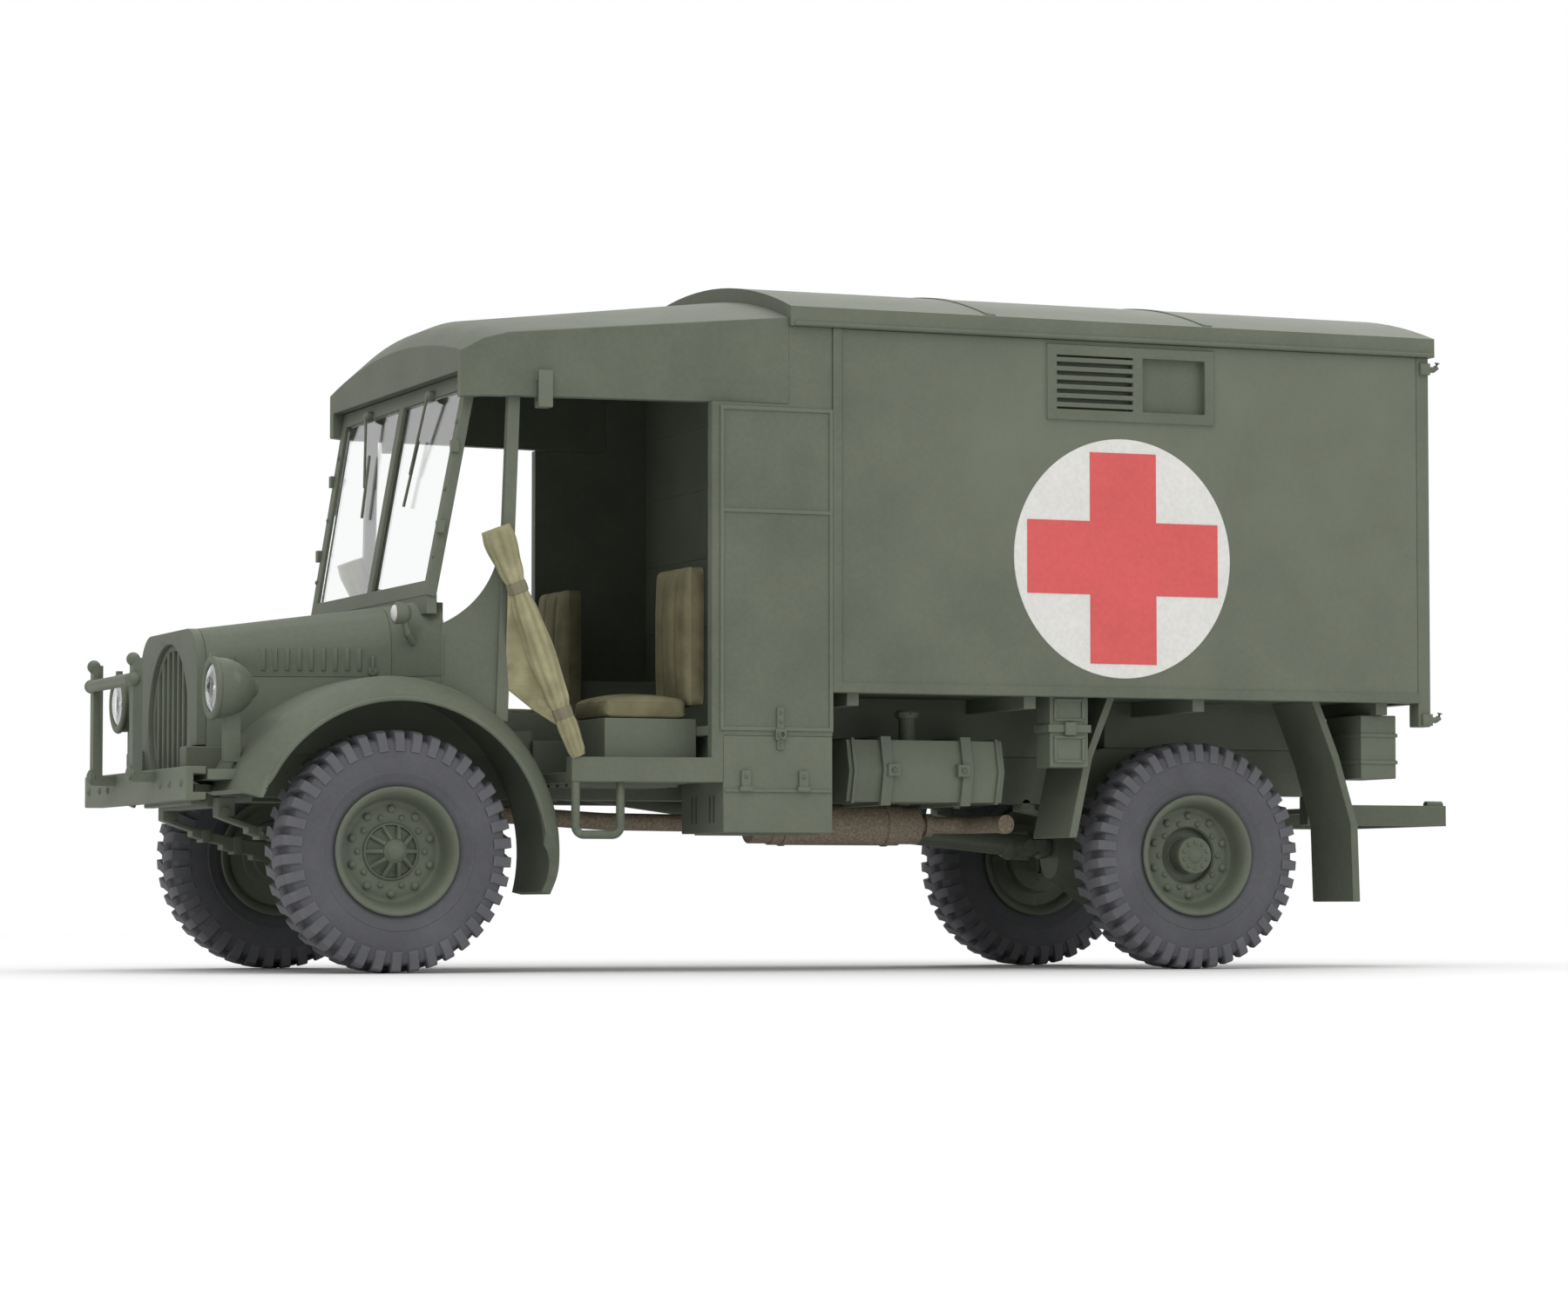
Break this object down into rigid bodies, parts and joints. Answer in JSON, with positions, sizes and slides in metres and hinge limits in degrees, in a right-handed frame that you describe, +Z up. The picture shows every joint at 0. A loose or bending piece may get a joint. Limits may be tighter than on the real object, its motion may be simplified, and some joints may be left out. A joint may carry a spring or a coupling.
{
  "type": "scale model of a military ambulance truck",
  "caption": "Painted plastic scale model of a two-axle military ambulance truck: open-sided cab, box body with red cross discs, rear step, and wheels that roll.",
  "frame": {"origin": "on the floor, under the middle of the overall box", "axes": "+Z up, front towards -Y, the truck's left side towards +X"},
  "size_m": [0.0456, 0.1188, 0.0576],
  "materials": {
    "olive": "matt olive drab paint on moulded plastic",
    "tyre": "matt dark grey paint",
    "exhaust": "matt rust brown paint",
    "canvas": "matt khaki paint",
    "seat": "matt brown paint",
    "glass": "clear plastic",
    "red_lamp": "red paint"
  },
  "bodies": {
    "truck": {"body_bulkhead": "olive", "body_floor": "olive", "body_roof": "olive", "body_side_left": "olive", "body_side_right": "olive", "bonnet": "olive", "brush_guard": "olive", "cab_floor": "olive", "cab_roof": "olive", "cab_side_left": "olive", "cab_side_right": "olive", "cab_stirrups": "olive", "canvas_rolls": "canvas", "cross_members": "olive", "engine_gearbox": "olive", "exhaust": "exhaust", "frame_rails": "olive", "front_axle_beam": "olive", "front_bumper": "olive", "front_knuckles": "olive", "front_springs": "olive", "front_wing_left": "olive", "front_wing_right": "olive", "fuel_tanks": "olive", "grille": "olive", "headlamp_lenses": "glass", "headlamps": "olive", "locker_left": "olive", "locker_right": "olive", "nose_panel": "olive", "prop_shaft": "olive", "radiator": "olive", "rear_axle": "olive", "rear_door_glass": "glass", "rear_door_left": "olive", "rear_door_right": "olive", "rear_frame": "olive", "rear_mud_flaps": "olive", "rear_springs": "olive", "rear_step": "olive", "scuttle": "olive", "seat_boxes": "olive", "seats": "seat", "steering_wheel": "olive", "tail_lamps": "red_lamp", "track_rod": "olive", "under_boxes": "olive", "windscreen_frame": "olive", "windscreen_glass": "glass"},
    "front_left_wheel": {"tyre_front_left": "tyre", "wheel_front_left": "olive"},
    "front_right_wheel": {"tyre_front_right": "tyre", "wheel_front_right": "olive"},
    "rear_left_wheel": {"tyre_rear_left": "tyre", "wheel_rear_left": "olive"},
    "rear_right_wheel": {"tyre_rear_right": "tyre", "wheel_rear_right": "olive"}
  },
  "joints": [
    {"name": "front_left_roll", "type": "hinge", "parent": "truck", "child": "front_left_wheel", "pos_m": [0.017, -0.0406, 0.0096], "axis": [1, 0, 0], "continuous": true},
    {"name": "front_right_roll", "type": "hinge", "parent": "truck", "child": "front_right_wheel", "pos_m": [-0.017, -0.0406, 0.0096], "axis": [1, 0, 0], "continuous": true},
    {"name": "rear_left_roll", "type": "hinge", "parent": "truck", "child": "rear_left_wheel", "pos_m": [0.016, 0.0303, 0.0096], "axis": [1, 0, 0], "continuous": true},
    {"name": "rear_right_roll", "type": "hinge", "parent": "truck", "child": "rear_right_wheel", "pos_m": [-0.016, 0.0303, 0.0096], "axis": [1, 0, 0], "continuous": true}
  ]
}
